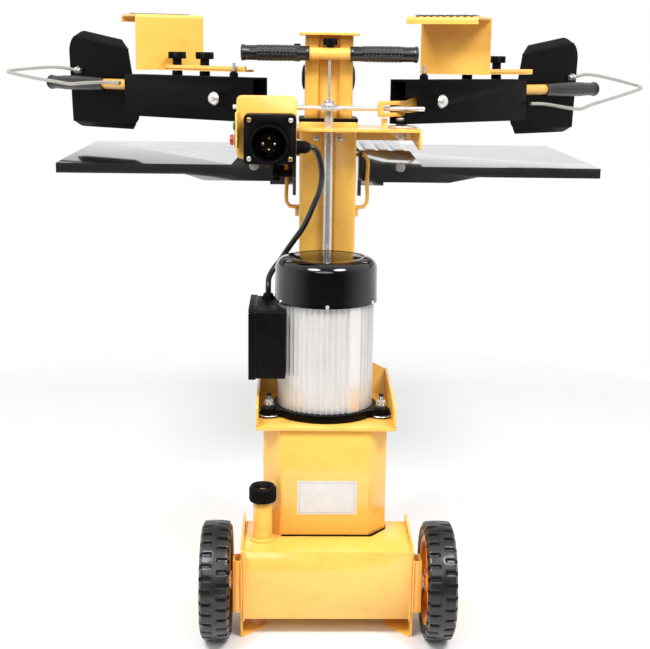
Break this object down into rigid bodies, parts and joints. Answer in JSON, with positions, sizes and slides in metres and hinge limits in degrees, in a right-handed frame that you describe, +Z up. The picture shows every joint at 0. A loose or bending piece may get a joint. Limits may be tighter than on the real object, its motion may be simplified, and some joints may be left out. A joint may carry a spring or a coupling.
{
  "type": "vertical log splitter",
  "caption": "Upright electric hydraulic log splitter with a rising ram and wedge, two-hand control levers, log claws, work table, oil tank and transport wheels.",
  "frame": {"origin": "on the floor under the axis of the square column, at the underside of the base plate", "axes": "+Z up; +Y towards the log side with the wedge and the table; +X to the right of an operator who stands behind the motor"},
  "size_m": [1.3125, 1.0085, 1.018],
  "materials": {
    "yellow_paint": "gloss enamel",
    "black_paint": "gloss enamel",
    "black_plastic": "fine grain",
    "cover_black": "high gloss",
    "rubber": "matte",
    "tyre_rubber": "matte",
    "aluminium": "bare casting",
    "galvanised": "zinc plated",
    "steel": "machined",
    "green_plastic": "smooth",
    "red_plastic": "smooth"
  },
  "bodies": {
    "frame": {"tank": "yellow_paint", "base_plate": "yellow_paint", "pedestal": "yellow_paint", "motor_tray": "yellow_paint", "motor_foot": "black_paint", "motor_body": "aluminium", "fan_cover": "cover_black", "terminal_box": "black_plastic", "terminal_lid": "black_plastic", "gear_pump": "aluminium", "valve_block": "steel", "column": "yellow_paint", "guide_ring": "black_plastic", "cylinder_barrel": "steel", "arm_plate": "yellow_paint", "arm_pivot_left": "galvanised", "arm_pivot_right": "galvanised", "switch_bracket": "yellow_paint", "switch_box": "black_plastic", "power_inlet": "black_plastic", "cable_gland": "black_plastic", "motor_lead": "rubber"},
    "motor_rotor": {"rotor": "steel"},
    "start_push": {"start_button": "green_plastic"},
    "stop_push": {"stop_button": "red_plastic"},
    "oil_cap": {"filler_cap": "black_plastic"},
    "wheel_left": {"tyre_left": "tyre_rubber", "rim_left": "yellow_paint"},
    "wheel_right": {"tyre_right": "tyre_rubber", "rim_right": "yellow_paint"},
    "ram": {"ram_column": "yellow_paint", "piston_rod": "steel", "piston_pin": "black_plastic", "wedge": "steel", "handlebar": "yellow_paint", "handle_grip_left": "rubber", "handle_grip_right": "rubber", "stroke_rod": "galvanised", "side_knob": "black_plastic"},
    "rod_knob": {"top_knob": "black_plastic"},
    "valve": {"valve_tube": "galvanised", "rocker_bar": "galvanised"},
    "table": {"table_top": "black_paint", "tread_plate": "galvanised"},
    "table_catch": {"table_knob": "black_plastic"},
    "arm_left": {"arm_housing_left": "black_paint", "hand_guard_left": "black_paint", "hand_bow_left": "galvanised"},
    "hand_lever_left": {"lever_left": "yellow_paint", "lever_grip_left": "rubber"},
    "log_claw_left": {"claw_left": "yellow_paint"},
    "claw_clamp_left": {"claw_knob_left": "black_plastic"},
    "arm_right": {"arm_housing_right": "black_paint", "hand_guard_right": "black_paint", "hand_bow_right": "galvanised"},
    "hand_lever_right": {"lever_right": "yellow_paint", "lever_grip_right": "rubber"},
    "log_claw_right": {"claw_right": "yellow_paint"},
    "claw_clamp_right": {"claw_knob_right": "black_plastic"}
  },
  "joints": [
    {"name": "ram_lift", "type": "slide", "parent": "frame", "child": "ram", "axis": [0, 0, 1], "range_m": [0, 0.48]},
    {"name": "rotor_spin", "type": "hinge", "parent": "frame", "child": "motor_rotor", "pos_m": [-0.0035, -0.166, 0.45], "axis": [0, 0, 1], "continuous": true},
    {"name": "start_press", "type": "slide", "parent": "frame", "child": "start_push", "axis": [1, 0, 0], "range_m": [0, 0.003], "stiffness_N_per_m": 400, "springref_m": -0.004},
    {"name": "stop_press", "type": "slide", "parent": "frame", "child": "stop_push", "axis": [1, 0, 0], "range_m": [0, 0.003], "stiffness_N_per_m": 500, "springref_m": -0.004},
    {"name": "cap_turn", "type": "hinge", "parent": "frame", "child": "oil_cap", "pos_m": [-0.108, -0.283, 0.23], "axis": [0, 0, 1], "continuous": true},
    {"name": "wheel_left_roll", "type": "hinge", "parent": "frame", "child": "wheel_left", "pos_m": [-0.182, -0.336, 0.099], "axis": [1, 0, 0], "continuous": true},
    {"name": "wheel_right_roll", "type": "hinge", "parent": "frame", "child": "wheel_right", "pos_m": [0.182, -0.336, 0.099], "axis": [1, 0, 0], "continuous": true},
    {"name": "rod_knob_turn", "type": "hinge", "parent": "ram", "child": "rod_knob", "pos_m": [0, -0.062, 0.965], "axis": [0, 0, 1], "continuous": true},
    {"name": "table_lift", "type": "slide", "parent": "frame", "child": "table", "axis": [0, 0, 1], "range_m": [0, 0.012]},
    {"name": "table_catch_turn", "type": "hinge", "parent": "table", "child": "table_catch", "pos_m": [-0.09, -0.0115, 0.738], "axis": [1, 0, 0], "continuous": true},
    {"name": "arm_left_swing", "type": "hinge", "parent": "frame", "child": "arm_left", "pos_m": [-0.128, -0.05, 0.86], "axis": [0, 0, -1], "range_deg": [-6, 20]},
    {"name": "arm_right_swing", "type": "hinge", "parent": "frame", "child": "arm_right", "pos_m": [0.128, -0.05, 0.86], "axis": [0, 0, 1], "range_deg": [-6, 20]},
    {"name": "lever_left_press", "type": "hinge", "parent": "arm_left", "child": "hand_lever_left", "pos_m": [-0.18946, -0.00198, 0.869], "axis": [-0.6157, -0.788, 0], "range_deg": [0, 6.4], "stiffness_Nm_per_rad": 9, "springref_deg": -25.78},
    {"name": "lever_right_press", "type": "hinge", "parent": "arm_right", "child": "hand_lever_right", "pos_m": [0.18946, -0.00198, 0.869], "axis": [-0.6157, 0.788, 0], "range_deg": [0, 6.4], "stiffness_Nm_per_rad": 9, "springref_deg": -25.78},
    {"name": "claw_left_shift", "type": "slide", "parent": "arm_left", "child": "log_claw_left", "axis": [-0.788, 0.6157, 0], "range_m": [-0.03, 0.06]},
    {"name": "claw_left_clamp_turn", "type": "hinge", "parent": "log_claw_left", "child": "claw_clamp_left", "pos_m": [-0.27378, 0.0639, 0.93], "axis": [0, 0, 1], "continuous": true},
    {"name": "claw_right_shift", "type": "slide", "parent": "arm_right", "child": "log_claw_right", "axis": [0.788, 0.6157, 0], "range_m": [-0.06, 0.025]},
    {"name": "claw_right_clamp_turn", "type": "hinge", "parent": "log_claw_right", "child": "claw_clamp_right", "pos_m": [0.25408, 0.04851, 0.93], "axis": [0, 0, 1], "continuous": true},
    {"name": "valve_shift", "type": "slide", "parent": "frame", "child": "valve", "axis": [0, 0, 1], "range_m": [0, 0.012]}
  ],
  "couplings": [
    {"joint": "lever_right_press", "follows": "lever_left_press", "ratio": 1},
    {"joint": "valve_shift", "follows": "lever_left_press", "m_per_rad": 0.104}
  ]
}
